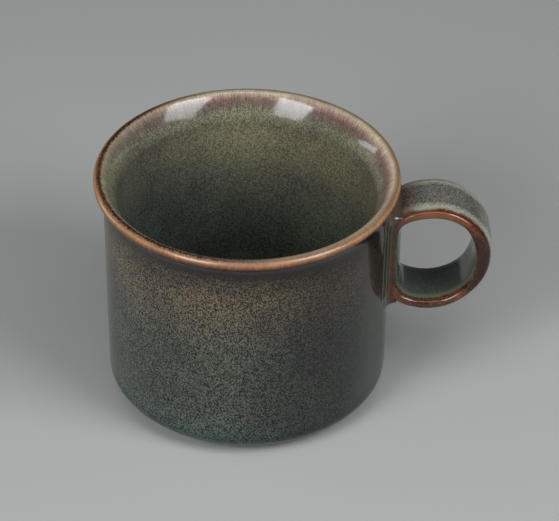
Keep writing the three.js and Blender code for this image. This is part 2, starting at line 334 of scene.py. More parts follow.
def make_cup():
    """The outline carried round the axis: x = axis + r cos a, y = r sin a, z = height."""
    inside = inside_outline()[::-1]
    outside = joined(outside_outline(), foot_outline())
    outline = joined(inside, outside)
    crown = len(inside) - 1
    from_crown = lengths(outline)
    from_crown = (from_crown - from_crown[crown]) / MM
    rings = outline[1:-1]
    angle = np.linspace(0.0, 2 * math.pi, CUP_COLUMNS, endpoint=False)
    radius = rings[:, 0][:, None]
    height = np.repeat(rings[:, 1][:, None], CUP_COLUMNS, axis=1)
    grid = np.stack([
        AXIS_X + radius * np.cos(angle),
        radius * np.sin(angle),
        height,
    ], axis=-1).reshape(-1, 3)
    poles = np.array([[AXIS_X, 0.0, outline[0, 1]], [AXIS_X, 0.0, outline[-1, 1]]])
    points = np.vstack([grid, poles])
    quads = grid_faces(len(rings), CUP_COLUMNS, False)
    first_pole = len(grid)
    last_ring = (len(rings) - 1) * CUP_COLUMNS
    triangles = np.vstack([
        fan(first_pole, 0, CUP_COLUMNS, True),
        fan(first_pole + 1, last_ring, CUP_COLUMNS, False),
    ])
    wrapped = (angle + math.pi) % (2 * math.pi) - math.pi
    around = np.broadcast_to(wrapped * wall_radius(RING_WAIST), height.shape)
    is_outside = np.arange(len(rings))[:, None] + 1 > crown
    from_joint = np.where(is_outside, joint_distance(around, height), FAR_FROM_JOINT)
    values = {
        "from_crown": np.concatenate([
            np.repeat(from_crown[1:-1], CUP_COLUMNS), from_crown[[0, -1]],
        ]),
        "from_joint": np.concatenate([from_joint.ravel(), [FAR_FROM_JOINT] * 2]),
    }
    return make_piece("cup_glazed", points, quads.tolist() + triangles.tolist(), values)


# Ring handle

# The band's middle line, measured from the cup's axis and from the waist
WALL_X = wall_radius(RING_WAIST)
BAND_LINE_X = WALL_X + BAND_AT_WALL - BAND_THICKNESS / 2
RING_RIGHT = ring_high.x - AXIS_X - WAIST_THICKNESS / 2
TOP_RISE = ring_high.z - RING_WAIST - BAND_THICKNESS / 2
BOTTOM_RISE = RING_WAIST - ring_low.z - BAND_THICKNESS / 2


def half_ring(reach, arm, rise, side):
    """Upper or lower half of the band's middle line, from the waist to the wall: a quarter oval, a
    flatter oval and a turned root. side is 1 above the waist and -1 below. Also gives the height
    where the line would meet the wall without the turn."""
    count = RING_POINTS
    middle = WALL_X + reach
    top = math.pi / 2
    quarter = arc((middle, 0.0), (RING_RIGHT - middle, rise), 0.0, top, count["quarter"])
    spread = math.asin((middle - BAND_LINE_X - ROOT_LENGTH) / arm)
    flat = arc((middle, 0.0), (arm, rise), top, top + spread, count["flat"])
    start = flat[-1]
    tangent = flat[-1] - flat[-2]
    corner = meeting(start, tangent, (BAND_LINE_X, 0.0), (0.0, 1.0))
    end = corner - np.array([0.0, np.linalg.norm(corner - start)])
    half = joined(quarter, flat, bend(start, corner, end, count["root"]))
    height = RING_WAIST + side * half[:, 1]
    return np.column_stack([half[:, 0], height]), RING_WAIST + side * corner[1]


def joint_ends():
    """Lowest and highest point of the band's seat on the wall."""
    _, top = half_ring(TOP_REACH, TOP_ARM, TOP_RISE, 1)
    _, bottom = half_ring(BOTTOM_REACH, BOTTOM_ARM, BOTTOM_RISE, -1)
    return bottom - BAND_THICKNESS / 2, top + BAND_THICKNESS / 2


def band_section():
    """Soft-edged rectangle, as across and wide over a turn: |cos|^(2/n) and |sin|^(2/n), each with
    its sign, times half the thickness and half the width. Also gives the distance round the
    section from the middle of the nearer edge."""
    turn = np.linspace(0.0, 2 * math.pi, SECTION_POINTS)
    power = 2 / BAND_SQUARENESS
    across = np.sign(np.cos(turn)) * np.abs(np.cos(turn)) ** power
    wide = np.sign(np.sin(turn)) * np.abs(np.sin(turn)) ** power
    outline = np.column_stack([across * BAND_THICKNESS / 2, wide * BAND_WIDTH / 2])
    points = spaced(outline, BAND_COLUMNS)
    girth = lengths(outline)[-1]
    along = girth * np.arange(BAND_COLUMNS) / BAND_COLUMNS
    from_side = np.abs((along % (girth / 2)) - girth / 4)
    return points[:, 0] / (BAND_THICKNESS / 2), points[:, 1], from_side


def make_ring():
    """The section carried round the band's middle line: point = centre + across n + wide y, where n
    is square to the line. Close to the wall it bends with the wall, by x - sqrt(x^2 - y^2), and
    stops at its seat."""
    upper, _ = half_ring(TOP_REACH, TOP_ARM, TOP_RISE, 1)
    lower, _ = half_ring(BOTTOM_REACH, BOTTOM_ARM, BOTTOM_RISE, -1)
    seat_line = line(upper[-1], lower[-1], RING_POINTS["seat"])
    loop = joined(upper, seat_line, lower[::-1])
    centre = spaced(loop, RING_STATIONS)
    tangent = np.roll(centre, -1, axis=0) - np.roll(centre, 1, axis=0)
    tangent /= np.linalg.norm(tangent, axis=1)[:, None]
    across, wide, from_side = band_section()
    swell = smooth_step(centre[:, 0], WALL_X + SWELL_REACH, RING_RIGHT)
    half_thickness = (BAND_THICKNESS + swell * (WAIST_THICKNESS - BAND_THICKNESS)) / 2
    offset = half_thickness[:, None] * across[None, :]
    centre_x = centre[:, 0][:, None]
    x = centre_x + offset * tangent[:, 1][:, None]
    z = centre[:, 1][:, None] - offset * tangent[:, 0][:, None]
    y = np.broadcast_to(wide, x.shape)
    hug = 1 - smooth_step(centre_x, BAND_LINE_X, BAND_LINE_X + HUG_DISTANCE)
    x = x - hug * (centre_x - np.sqrt(centre_x ** 2 - y ** 2))
    x = np.maximum(x, np.sqrt((wall_radius(z) + BAND_SEAT) ** 2 - y ** 2))
    points = np.stack([AXIS_X + x, y, z], axis=-1).reshape(-1, 3)
    quads = facing_out(points, grid_faces(RING_STATIONS, BAND_COLUMNS, True))
    from_wall = np.hypot(x, y) - wall_radius(z)
    values = {
        "from_side": np.broadcast_to(from_side / MM, x.shape).ravel(),
        "outward": np.broadcast_to(across, x.shape).ravel(),
        "from_wall": from_wall.ravel() / MM,
    }
    return make_piece("ring_handle_glazed", points, quads.tolist(), values)


# Luting slip

def joint_outline():
    """The joint's edge on the unrolled wall, a rectangle with round corners, and its normals."""
    low, high = joint_ends()
    half = BAND_WIDTH / 2 - SLIP_TUCK
    low = low + SLIP_TUCK
    high = high - SLIP_TUCK
    side = half - SLIP_CORNER
    round_corner = (SLIP_CORNER, SLIP_CORNER)
    quarter = math.pi / 2
    bottom, top = low + SLIP_CORNER, high - SLIP_CORNER
    corners = [
        arc(middle, round_corner, k * quarter, (k + 1) * quarter, SLIP_CORNER_POINTS)
        for k, middle in enumerate([(side, top), (-side, top), (-side, bottom), (side, bottom)])
    ]
    outline = joined(*corners, np.array([[half, bottom], [half, top]]))
    points = spaced(outline, SLIP_COLUMNS)
    along = np.roll(points, -1, axis=0) - np.roll(points, 1, axis=0)
    normal = np.column_stack([along[:, 1], -along[:, 0]])
    return points, normal / np.linalg.norm(normal, axis=1)[:, None]


def slip_section(spread, rise, depth):
    """Closed section of the fillet, as distance out from the joint and height over the wall.
    Its face is a hollow quarter oval, out = spread (1 - sqrt(1 - (1 - s)^2)) and
    up = s (rise + feather) - feather, and its back runs in the wall and up inside the band."""
    share = np.linspace(1.0, 0.0, SLIP_ROWS)[:, None]
    out = spread * (1 - np.sqrt(1 - (1 - share) ** 2))
    up = share * (rise + SLIP_FEATHER) - SLIP_FEATHER
    back_out = np.stack([spread, (spread - depth) / 2, -depth, -depth, -depth / 2])
    sunk = np.full_like(rise, -SLIP_SINK)
    back_up = np.stack([sunk, sunk, sunk, (rise + sunk) / 2, rise])
    return np.vstack([out, back_out]), np.vstack([up, back_up])


def make_slip():
    """The fillet's section carried round the joint, with its spread and rise changing from the
    sides to the ends, and laid on the wall: r = outside radius + up, a = distance round / wall."""
    points, normal = joint_outline()
    low, high = joint_ends()
    near_top = smooth_step(points[:, 1], high - SLIP_END_BLEND, high)
    near_bottom = 1 - smooth_step(points[:, 1], low, low + SLIP_END_BLEND)
    rise = (
        SLIP_SIDE_RISE + near_top * (SLIP_TOP_RISE - SLIP_SIDE_RISE)
        + near_bottom * (SLIP_BOTTOM_RISE - SLIP_SIDE_RISE)
    )
    endwise = normal[:, 1] ** 2
    end_spread = np.where(normal[:, 1] > 0, SLIP_TOP_SPREAD, SLIP_BOTTOM_SPREAD)
    spread = SLIP_SIDE_SPREAD + endwise * (end_spread - SLIP_SIDE_SPREAD)
    depth = SLIP_SIDE_DEPTH + endwise * (SLIP_END_DEPTH - SLIP_SIDE_DEPTH)
    out, up = slip_section(spread, rise, depth)
    around = points[:, 0] + out * normal[:, 0]
    height = points[:, 1] + out * normal[:, 1]
    radius = outside_radius(height) + up
    angle = around / WALL_X
    grid = np.stack([
        AXIS_X + radius * np.cos(angle),
        radius * np.sin(angle),
        height,
    ], axis=-1)
    points = grid.reshape(-1, 3)
    quads = facing_out(points, grid_faces(len(grid), SLIP_COLUMNS, True))
    values = {
        "from_joint": (out / MM).ravel(),
        "over_wall": (up / MM).ravel(),
    }
    return make_piece("handle_slip_glazed", points, quads.tolist(), values)


# Colours and nodes

def shade(red, green, blue):
    """A colour given as 0 to 255 display values, turned into linear light."""
    display = np.array([red, green, blue]) / 255
    linear = np.where(display <= 0.04045, display / 12.92, ((display + 0.055) / 1.055) ** 2.4)
    return (*linear.tolist(), 1.0)


def level(value):
    """A neutral multiplier for a colour."""
    return (value, value, value, 1.0)


def add(tree, kind, settings=None, **inputs):
    """Adds a node, sets its properties, and feeds its inputs."""
    made = tree.nodes.new(kind)
    for name, value in (settings or {}).items():
        setattr(made, name, value)
    for name, value in inputs.items():
        feed(tree, made.inputs[name.replace("_", " ")], value)
    return made


def feed(tree, socket, value):
    """Links an output to a socket, or sets the socket's own value."""
    if isinstance(value, bpy.types.NodeSocket):
        tree.links.new(value, socket)
    else:
        socket.default_value = value


def calculate(tree, operation, first, second=0.0, is_clamped=False):
    made = add(tree, "ShaderNodeMath", {"operation": operation, "use_clamp": is_clamped})
    feed(tree, made.inputs[0], first)
    feed(tree, made.inputs[1], second)
    return made.outputs[0]


def plus(tree, total, *values):
    """Sum of all the values."""
    for value in values:
        total = calculate(tree, "ADD", total, value)
    return total


def minus(tree, first, second):
    return calculate(tree, "SUBTRACT", first, second)


def times(tree, product, *values):
    """Product of all the values."""
    for value in values:
        product = calculate(tree, "MULTIPLY", product, value)
    return product


def vector_math(tree, operation, *vectors, **inputs):
    """A vector node with its vectors and other inputs fed."""
    made = add(tree, "ShaderNodeVectorMath", {"operation": operation}, **inputs)
    for socket, vector in zip(made.inputs, vectors):
        feed(tree, socket, vector)
    return made.outputs


def fade(tree, value, low, high):
    """0 where value is at low, 1 where it is at high, and a smooth step between them."""
    made = add(
        tree, "ShaderNodeMapRange", {"interpolation_type": "SMOOTHSTEP"},
        Value=value, From_Min=low, From_Max=high,
    )
    return made.outputs["Result"]


def between(tree, value, rise, fall):
    """1 between a fade in and a fade out, which are each given as (value at 0, value at 1)."""
    return times(tree, fade(tree, value, *rise), fade(tree, value, *fall))


def mix(tree, share, first, second, blend="MIX"):
    """From the first colour to the second by share, or to their blend. The node's sockets for
    colours are inputs 6 and 7 and output 2."""
    made = add(tree, "ShaderNodeMix", {"data_type": "RGBA", "blend_type": blend})
    for index, value in ((0, share), (6, first), (7, second)):
        feed(tree, made.inputs[index], value)
    return made.outputs[2]


def tinted(tree, share, colour, tint):
    """The colour multiplied by a tint, as far as share says."""
    return mix(tree, share, colour, tint, "MULTIPLY")


def band_colours(tree, value, stops):
    """Colours along a value in mm. Each stop is a distance, rising, and a glaze colour."""
    start, end = stops[0][0], stops[-1][0]
    share = add(
        tree, "ShaderNodeMapRange", Value=value, From_Min=start, From_Max=end,
    ).outputs["Result"]
    made = add(tree, "ShaderNodeValToRGB", Fac=share)
    ramp = made.color_ramp
    ramp.interpolation = "LINEAR"
    for index, (distance, colour) in enumerate(stops):
        position = (distance - start) / (end - start)
        element = ramp.elements[index] if index < 2 else ramp.elements.new(position)
        element.position = position
        element.color = colour
    return made.outputs["Color"]


def noise(tree, vector, size, detail, roughness):
    """Soft noise round 0.5 whose blobs are about size metres across."""
    made = add(
        tree, "ShaderNodeTexNoise",
        Vector=vector, Scale=1 / size, Detail=detail, Roughness=roughness,
    )
    return made.outputs["Fac"]


def sway(tree, vector, size, detail, roughness):
    """The same noise round 0."""
    return minus(tree, noise(tree, vector, size, detail, roughness), 0.5)


def attribute(tree, name):
    return add(tree, "ShaderNodeAttribute", {"attribute_name": name}).outputs["Fac"]


def new_group(name, inputs, outputs):
    """A shader node group: inputs are (name, kind, value), and outputs are (name, kind)."""
    tree = bpy.data.node_groups.new(name, "ShaderNodeTree")
    for label, kind, value in inputs:
        socket = tree.interface.new_socket(name=label, in_out="INPUT", socket_type=kind)
        if value is not None:
            socket.default_value = value
    for label, kind in outputs:
        tree.interface.new_socket(name=label, in_out="OUTPUT", socket_type=kind)
    given = tree.nodes.new("NodeGroupInput").outputs
    return tree, given, tree.nodes.new("NodeGroupOutput").inputs


def place(tree, group, **inputs):
    """Puts a group into a material and feeds its inputs."""
    return add(tree, "ShaderNodeGroup", {"node_tree": group}, **inputs).outputs


# Textures that the glazes share. A noise is given by the size of its blobs, detail and roughness

GREY = (0.5, 0.5, 0.5, 1.0)

GRAIN_SIZE = 0.24 * MM
GRAIN_SQUEEZE = (1.0, 1.0, 0.72)
GRAIN_FADE = (0.92, 0.18)
CLUMP_NOISE = (0.9 * MM, 2.0, 0.6)
CLUMP_WEIGHT = 0.18
CLOUD_NOISE = (16 * MM, 3.0, 0.55)
CLOUD_FADE = (0.40, 0.66)

RUN_NOISE = (1.0, 2.0, 0.6)

TEETH_NOISE = (0.5 * MM, 2.0, 0.7)
BREAK_NOISE = (0.6 * MM, 2.0, 0.7)
BREAK_FADE = (0.40, 0.62)

PEEL_NOISE = (2.2 * MM, 2.0, 0.5)
PEEL_HEIGHT = 0.012 * MM
PIT_HEIGHT = -0.004 * MM

GLAZE_IOR = 1.5


def make_speckle():
    """Fine grains, each lighter or darker than the ground by chance, over soft clouds of a tint."""
    tree, given, out = new_group(
        "glaze_speckle",
        [
            ("Vector", "NodeSocketVector", None),
            ("Ground", "NodeSocketColor", GREY),
            ("Dark", "NodeSocketColor", GREY),
            ("Light", "NodeSocketColor", GREY),
            ("Tint", "NodeSocketColor", GREY),
            ("Amount", "NodeSocketFloat", 1.0),
            ("Cloud", "NodeSocketFloat", 0.5),
        ],
        [("Color", "NodeSocketColor"), ("Flecks", "NodeSocketFloat")],
    )
    vector = given["Vector"]
    cloud = fade(tree, noise(tree, vector, *CLOUD_NOISE), *CLOUD_FADE)
    ground = tinted(tree, times(tree, cloud, given["Cloud"]), given["Ground"], given["Tint"])
    mapping = add(tree, "ShaderNodeMapping", Vector=vector, Scale=GRAIN_SQUEEZE)
    squeezed = mapping.outputs["Vector"]
    grains = add(tree, "ShaderNodeTexVoronoi", Vector=squeezed, Scale=1 / GRAIN_SIZE)
    chance = add(tree, "ShaderNodeSeparateColor", Color=grains.outputs["Color"])
    clump = times(tree, sway(tree, vector, *CLUMP_NOISE), CLUMP_WEIGHT)
    dark = fade(tree, plus(tree, chance.outputs["Red"], clump), *GRAIN_FADE)
    grain = mix(tree, dark, given["Light"], given["Dark"])
    tree.links.new(tinted(tree, given["Amount"], ground, grain), out["Color"])
    flecks = calculate(tree, "MULTIPLY", dark, given["Amount"], is_clamped=True)
    tree.links.new(flecks, out["Flecks"])
    return tree


def make_runs():
    """Noise drawn out down the wall, as glaze runs: fine round the cup and long down its side.
    It is read at outward times (wall radius / width), raised by distance / length."""
    tree, given, out = new_group(
        "glaze_runs",
        [
            ("Outward", "NodeSocketVector", None),
            ("Distance", "NodeSocketFloat", 0.0),
            ("Width", "NodeSocketFloat", MM),
            ("Length", "NodeSocketFloat", MM),
        ],
        [("Run", "NodeSocketFloat")],
    )
    scale = calculate(tree, "DIVIDE", WALL_TOP_R, given["Width"])
    scaled = vector_math(tree, "SCALE", given["Outward"], Scale=scale)[0]
    fallen = calculate(tree, "DIVIDE", times(tree, given["Distance"], MM), given["Length"])
    down = add(tree, "ShaderNodeCombineXYZ", Z=fallen).outputs[0]
    place_of = vector_math(tree, "ADD", scaled, down)[0]
    tree.links.new(noise(tree, place_of, *RUN_NOISE), out["Run"])
    return tree


def make_break():
    """Where the glaze runs thin over an edge it burns to iron brown: a mask with a ragged border,
    and the brown's own streaks."""
    tree, given, out = new_group(
        "iron_break",
        [
            ("Vector", "NodeSocketVector", None),
            ("Distance", "NodeSocketFloat", 0.0),
            ("Border", "NodeSocketFloat", 1.0),
            ("Ragged", "NodeSocketFloat", 0.3),
            ("Soft", "NodeSocketFloat", 0.3),
            ("Pale", "NodeSocketColor", GREY),
            ("Deep", "NodeSocketColor", GREY),
        ],
        [("Mask", "NodeSocketFloat"), ("Color", "NodeSocketColor")],
    )
    teeth = times(tree, sway(tree, given["Vector"], *TEETH_NOISE), given["Ragged"])
    edge = plus(tree, given["Border"], teeth)
    mask = fade(tree, given["Distance"], edge, minus(tree, edge, given["Soft"]))
    tree.links.new(mask, out["Mask"])
    streaks = fade(tree, noise(tree, given["Vector"], *BREAK_NOISE), *BREAK_FADE)
    tree.links.new(mix(tree, streaks, given["Pale"], given["Deep"]), out["Color"])
    return tree


def make_relief():
    """Height of the glaze's skin, in metres: a faint orange peel and the pits of its flecks."""
    tree, given, out = new_group(
        "glaze_relief",
        [("Vector", "NodeSocketVector", None), ("Flecks", "NodeSocketFloat", 0.0)],
        [("Height", "NodeSocketFloat")],
    )
    peel = times(tree, noise(tree, given["Vector"], *PEEL_NOISE), PEEL_HEIGHT)
    pits = times(tree, given["Flecks"], PIT_HEIGHT)
    tree.links.new(plus(tree, peel, pits), out["Height"])
    return tree


GROUPS = {
    "speckle": make_speckle(),
    "break": make_break(),
    "runs": make_runs(),
    "relief": make_relief(),
}


def runs(tree, outward, distance, width, length):
    """The drawn-out noise of a glaze that has run, placed in a material."""
    return place(
        tree, GROUPS["runs"], Outward=outward, Distance=distance, Width=width, Length=length,
    )["Run"]


def start_material(name):
    """An empty node material and its tree."""
    made = bpy.data.materials.new(name)
    made.use_nodes = True
    made.node_tree.nodes.clear()
    return made, made.node_tree


def finish_glaze(tree, centred, colour, roughness, flecks):
    """The glaze's skin and shader, which goes to the material's output."""
    height = place(tree, GROUPS["relief"], Vector=centred, Flecks=flecks)["Height"]
    relief = add(tree, "ShaderNodeBump", Strength=1.0, Distance=1.0, Height=height)
    shader = add(
        tree, "ShaderNodeBsdfPrincipled",
        Base_Color=colour, Roughness=roughness, IOR=GLAZE_IOR, Normal=relief.outputs["Normal"],
    )
    add(tree, "ShaderNodeOutputMaterial", Surface=shader.outputs["BSDF"])


def cup_place(tree):
    """Object coordinates measured from the cup's axis, and the level direction away from it."""
    place_of = add(tree, "ShaderNodeTexCoord").outputs["Object"]
    centred = add(
        tree, "ShaderNodeMapping", Vector=place_of, Location=(-AXIS_X, 0.0, 0.0),
    ).outputs["Vector"]
    flattened = vector_math(tree, "MULTIPLY", centred, (1.0, 1.0, 0.0))[0]
    return centred, vector_math(tree, "NORMALIZE", flattened)[0]


def facing(tree, outward, compass, low, high):
    """How far a place looks towards a compass angle: a fade of the dot product of its outward
    direction and that angle's."""
    angle = math.radians(compass)
    aim = (math.cos(angle), math.sin(angle), 0.0)
    return fade(tree, vector_math(tree, "DOT_PRODUCT", outward, aim)["Value"], low, high)


# Colours of glaze and bare clay, some with painted shade or highlight in them: lip, flare and
# inside, outer wall and foot, then handle

CREAM = shade(160, 145, 125)
SAND = shade(144, 131, 107)
TAN = shade(137, 118, 96)
LIP_LINE = shade(124, 94, 67)
ORANGE = shade(167, 124, 91)
RUST = shade(122, 74, 40)
# Under the lip: iron brown darkened by painted shade, and NECK_SHADOW is painted shade in the neck
DARK_BROWN = shade(72, 28, 9)
BLACK_BROWN_AND_SHADE = shade(30, 16, 9)
NECK_SHADOW = shade(24, 19, 13)
NECK_OLIVE = shade(51, 49, 39)

ROSE = shade(130, 100, 89)
PLUM = shade(100, 83, 74)
STRAW = shade(114, 108, 84)
REED = shade(106, 102, 82)
MOSS = shade(110, 108, 88)
OLIVE = shade(90, 89, 74)
SAGE = shade(72, 77, 64)
STONE_GREEN = shade(58, 60, 52)
DEEP_GREEN = shade(50, 54, 48)

# Dark glaze with painted shade on it, in the neck under the lip
UMBER_AND_NECK_SHADE = shade(38, 31, 24)
WARM_GREY = shade(77, 68, 52)
POOL_EDGE = shade(55, 65, 58)
POOL_GREEN = shade(33, 49, 46)
POOL_DARK = shade(31, 37, 32)
BARE_CLAY = shade(143, 119, 95)

EDGE_BROWN = shade(94, 60, 44)
EDGE_UMBER = shade(66, 50, 36)
FLAX = shade(122, 108, 92)
# Pale glaze along the band's outer edge, brightened by a painted highlight
PALE_ASH_AND_HIGHLIGHT = shade(149, 149, 136)
ASH = shade(100, 98, 90)
SEA_GREY = shade(60, 66, 61)
SEA_SHADE = shade(54, 60, 56)


# Glaze of the cup

# Rings by distance from the crown of the lip, in mm: inside below 0 and outside above it. INSIDE
# counts its distance down into the cup
# Past 2.4 mm the lip turns under, and its browns darken there and in the neck as painted shade
LIP_EDGE = [(0.8, LIP_LINE), (1.4, ORANGE), (2.4, RUST), (3.0, DARK_BROWN)]
GREEN_FLARE = [
    (-8.0, OLIVE), (-5.0, MOSS), (-3.0, MOSS), (-1.2, SAND), (-0.3, TAN), (0.3, TAN),
    *LIP_EDGE, (6.0, BLACK_BROWN_AND_SHADE), (7.5, NECK_SHADOW), (12.0, NECK_OLIVE),
]
RED_FLARE = [
    (-7.0, MOSS), (-4.4, PLUM), (-3.5, PLUM), (-2.6, ROSE), (-1.3, CREAM), (-0.7, CREAM),
    (-0.2, TAN), *LIP_EDGE, (12.0, NECK_OLIVE),
]
OUTSIDE = [
    (7.0, UMBER_AND_NECK_SHADE), (17.0, WARM_GREY), (34.0, STONE_GREEN), (56.0, STONE_GREEN),
    (62.0, POOL_EDGE), (66.5, POOL_GREEN), (71.0, POOL_DARK), (76.0, POOL_DARK),
    (77.4, BARE_CLAY), (82.5, BARE_CLAY), (84.0, STONE_GREEN),
]
# The inside's greens darken down into the cup as painted shade
INSIDE = [
    (8.0, REED), (14.0, STRAW), (27.0, OLIVE), (43.0, SAGE), (60.0, STONE_GREEN),
    (90.0, DEEP_GREEN),
]

# How far the colours stray, in mm for a full swing of their noise
CUP_NOISE = (9 * MM, 2.0, 0.5)
LIP_STRAY = 1.2
WALL_STRAY = 7.0
LIP_RUNS = (0.55 * MM, 5 * MM)
LIP_RUN_STRAY = 1.1

# Sides of the cup: a compass angle, and the dot products where its share is 0 and 1
RED_SIDE = (60, -0.45, 0.75)
BRIGHT_SIDE = (-8, 0.55, 1.0)
# Painted light: the outside lighter to the front left, where the left lamp falls
PAINTED_LIGHT_SIDE = (235, 0.3, 1.0)
COOL_SIDE = (175, 0.0, 0.9)
# Painted shade: the outside darker on its right flank, away from the left lamp
PAINTED_SHADE_SIDE = (-20, 0.2, 0.85)
BURNT_SIDE = (195, -0.2, 0.7)

# What those sides get
RED_PATCHES = (-0.50, -0.12)
BRIGHT_SHARE = 0.8
BRIGHT_TINT = level(1.65)
PAINTED_LIGHT_TINT = level(1.26)
COOL_TINT = shade(214, 222, 238)
PAINTED_SHADE_TINT = shade(178, 178, 183)

# Zones of the cup in mm from the crown, where a share is 0 and 1. Those of the inside count down
OUTSIDE_ZONE = (-0.5, 0.5)
INSIDE_ZONE = (-0.5, 0.5)
WALL_ZONE = (7.0, 10.5)
PAINTED_SHADE_ZONE = (3.0, 9.0)
STREAKED_FLARE = ((0.2, 0.9), (9.0, 5.0))
STREAKED_LIP = ((-0.2, 0.5), (7.0, 4.0))
DULL_LIP = ((-0.3, 0.8), (4.0, 2.4))
BARE_FOOT = ((76.6, 77.2), (83.2, 82.6))

# Streaks across the flare and lip
STREAK_RUNS = (0.42 * MM, 4 * MM)
STREAK_FADE = (0.32, 0.68)
STREAK_DARK = level(0.80)
STREAK_LIGHT = level(1.22)
STREAKED_LIP_SHARE = 0.55

# Speckle on the cup: its share by zone, and its strength inside and outside
BOTH_SIDES = ((3.4, 6.0), 0.45)
FLARE_SIDE = ((0.6, 2.2), 0.55)
OUTER_SIDE = ((4.5, 7.0), 0.55)
SPECKLE_END = (77.0, 64.0)
CLEAR_OF_JOINT = (2.0, 7.5)
DARK_GRAINS = (level(0.60), level(0.08))
LIGHT_GRAINS = (level(1.46), level(2.06))
CUP_TINT = shade(216, 206, 232)
CUP_CLOUD = 0.6
POOLED = shade(36, 42, 36)

# Roughness of the cup, and what its zones add
CUP_ROUGHNESS = 0.07
SPECKLE_ROUGHNESS = 0.05
LIP_ROUGHNESS = 0.16
FOOT_ROUGHNESS = 0.55


def lip_ground(tree, outward, distance, depth, wander):
    """Rings of colour on lip and flare, green or red by turns, and brighter inside on the right."""
    drawn = minus(tree, runs(tree, outward, distance, *LIP_RUNS), 0.5)
    shifted = plus(
        tree, distance, times(tree, wander, LIP_STRAY), times(tree, drawn, LIP_RUN_STRAY),
    )
    red_share = times(
        tree, facing(tree, outward, *RED_SIDE), fade(tree, wander, *RED_PATCHES),
    )
    rings = mix(
        tree, red_share,
        band_colours(tree, shifted, GREEN_FLARE), band_colours(tree, shifted, RED_FLARE),
    )
    bright = times(
        tree, facing(tree, outward, *BRIGHT_SIDE), BRIGHT_SHARE, fade(tree, depth, *INSIDE_ZONE),
    )
    return tinted(tree, bright, rings, BRIGHT_TINT)


def wall_ground(tree, outward, distance, depth, wander, is_outside):
    """Colours down both sides of the wall: lighter to the front left as painted light, cooler
    inside left, and darker down inside the cup as painted shade.
    """
    lower = plus(tree, distance, times(tree, wander, WALL_STRAY))
    outside = tinted(
        tree, facing(tree, outward, *PAINTED_LIGHT_SIDE), band_colours(tree, lower, OUTSIDE), PAINTED_LIGHT_TINT,
    )
    inside = tinted(
        tree, facing(tree, outward, *COOL_SIDE), band_colours(tree, depth, INSIDE), COOL_TINT,
    )
    return mix(tree, is_outside, inside, outside)


def streaked(tree, outward, distance, depth, ground):
    """The ground of flare and lip with pale and dark streaks of run glaze across it."""
    on_lip = times(tree, between(tree, distance, *STREAKED_LIP), STREAKED_LIP_SHARE)
    share = plus(tree, between(tree, depth, *STREAKED_FLARE), on_lip)
    streaks = fade(tree, runs(tree, outward, distance, *STREAK_RUNS), *STREAK_FADE)
    return tinted(tree, share, ground, mix(tree, streaks, STREAK_DARK, STREAK_LIGHT))


def zone_share(tree, value, zone, share):
    """A share of 1 that a zone brings."""
    return times(tree, fade(tree, value, *zone), share)


def cup_glaze():
    """Glaze of the cup body, coloured by distance from the crown of the lip."""
    made, tree = start_material("cup_glaze")
    centred, outward = cup_place(tree)
    distance = attribute(tree, "from_crown")
    depth = times(tree, distance, -1.0)
    from_lip = calculate(tree, "ABSOLUTE", distance)
    is_outside = fade(tree, distance, *OUTSIDE_ZONE)
    clear_joint = fade(tree, attribute(tree, "from_joint"), *CLEAR_OF_JOINT)
    wander = sway(tree, centred, *CUP_NOISE)

    lip = lip_ground(tree, outward, distance, depth, wander)
    wall = wall_ground(tree, outward, distance, depth, wander, is_outside)
    ground = mix(tree, fade(tree, from_lip, *WALL_ZONE), lip, wall)
    # Painted shade: the outside's right flank is darkened
    painted_shade = times(tree, facing(tree, outward, *PAINTED_SHADE_SIDE), fade(tree, distance, *PAINTED_SHADE_ZONE))
    ground = tinted(tree, painted_shade, ground, PAINTED_SHADE_TINT)
    lip_break = place(
        tree, GROUPS["break"], Vector=centred, Distance=from_lip,
        Border=0.75, Ragged=2.4, Soft=0.3, Pale=shade(88, 52, 28), Deep=shade(26, 15, 10),
    )
    burnt = times(tree, lip_break["Mask"], facing(tree, outward, *BURNT_SIDE))
    ground = mix(tree, burnt, ground, lip_break["Color"])
    ground = streaked(tree, outward, distance, depth, ground)
    ground = mix(tree, clear_joint, POOLED, ground)

    amount = plus(
        tree, zone_share(tree, from_lip, *BOTH_SIDES), zone_share(tree, depth, *FLARE_SIDE),
        zone_share(tree, distance, *OUTER_SIDE),
    )
    amount = times(tree, amount, fade(tree, distance, *SPECKLE_END), clear_joint)
    speckled = place(
        tree, GROUPS["speckle"], Vector=centred, Ground=ground, Amount=amount, Cloud=CUP_CLOUD,
        Dark=mix(tree, is_outside, *DARK_GRAINS), Light=mix(tree, is_outside, *LIGHT_GRAINS),
        Tint=CUP_TINT,
    )
    roughness = plus(
        tree, CUP_ROUGHNESS, times(tree, amount, SPECKLE_ROUGHNESS),
        times(tree, between(tree, distance, *DULL_LIP), LIP_ROUGHNESS),
        times(tree, between(tree, distance, *BARE_FOOT), FOOT_ROUGHNESS),
    )
    finish_glaze(tree, centred, speckled["Color"], roughness, speckled["Flecks"])
    return made


# Glaze of the ring handle

# Bands by distance from the middle of the band's edge, in mm
OUTER_BAND = [(2.0, EDGE_BROWN), (2.5, FLAX), (3.0, PALE_ASH_AND_HIGHLIGHT), (4.0, PALE_ASH_AND_HIGHLIGHT), (5.6, ASH)]
INNER_BAND = [(2.0, EDGE_UMBER), (2.6, OLIVE), (3.1, OLIVE), (4.3, SEA_GREY), (9.5, SEA_SHADE)]

# The iron brown in painted shade and in painted light, picked by height and mottle
BURNT_IN_PAINTED_SHADE = shade(42, 18, 12)
BURNT_IN_PAINTED_LIGHT = shade(116, 69, 43)
BURNT_TINT = shade(182, 142, 132)
BURNT_PATCH = shade(62, 54, 46)
FLUSH_COLOURS = (shade(140, 104, 84), shade(122, 84, 76))
RING_TINT = shade(236, 226, 226)
RING_CLOUD = 0.7
RING_DARK = level(0.52)
RING_LIGHT = level(1.54)

